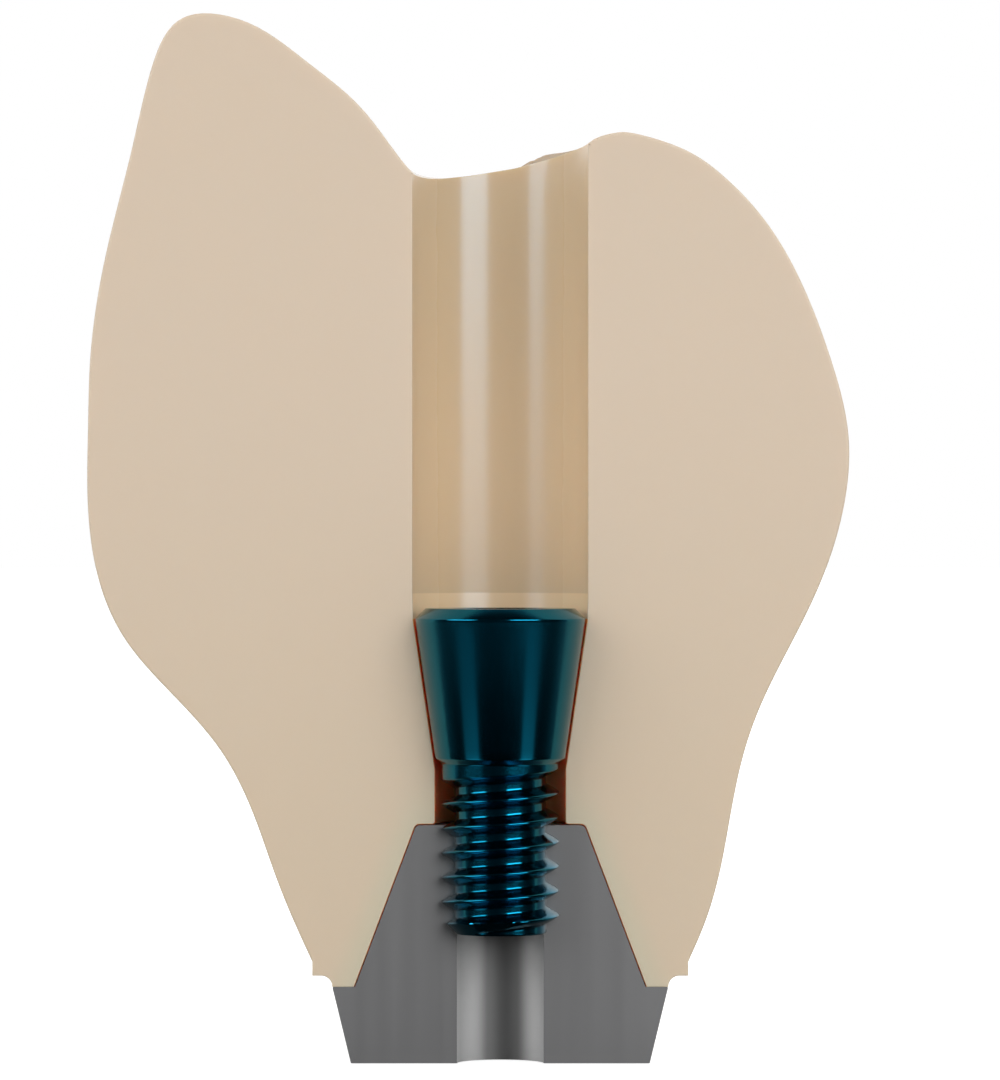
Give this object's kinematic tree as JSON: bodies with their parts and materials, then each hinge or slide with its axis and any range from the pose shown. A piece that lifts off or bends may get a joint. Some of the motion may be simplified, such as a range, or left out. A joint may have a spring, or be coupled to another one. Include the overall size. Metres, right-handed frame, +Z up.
{
  "type": "sectioned full-arch dental prosthesis",
  "caption": "Implant site of a screw-retained dental prosthesis, cut lengthwise to show the tooth form, its screw channel, the prosthetic screw and the multi-unit abutment.",
  "frame": {"origin": "centre of the abutment's flat base, on the screw axis and in the cut plane", "axes": "+Z up the screw axis to the biting surface, +X to the lower cusp, +Y from the cut face into the tooth, and the cut faces look along -Y"},
  "size_m": [0.0109, 0.0053, 0.015],
  "materials": {
    "zirconia": "satin cut face, glazed outside",
    "anodised_titanium": "blue-green anodised, satin",
    "titanium": "satin grey, fine turning marks"
  },
  "bodies": {
    "abutment": {"multi_unit_abutment": "titanium"},
    "prosthesis": {"prosthesis": "zirconia"},
    "screw": {"prosthetic_screw": "anodised_titanium"}
  },
  "joints": [
    {"name": "prosthesis_lift", "type": "slide", "parent": "abutment", "child": "prosthesis", "axis": [0, 0, 1], "range_m": [0, 0.006]},
    {"name": "screw_withdrawal", "type": "slide", "parent": "prosthesis", "child": "screw", "axis": [0, 0, 1], "range_m": [0, 0.0125]}
  ]
}
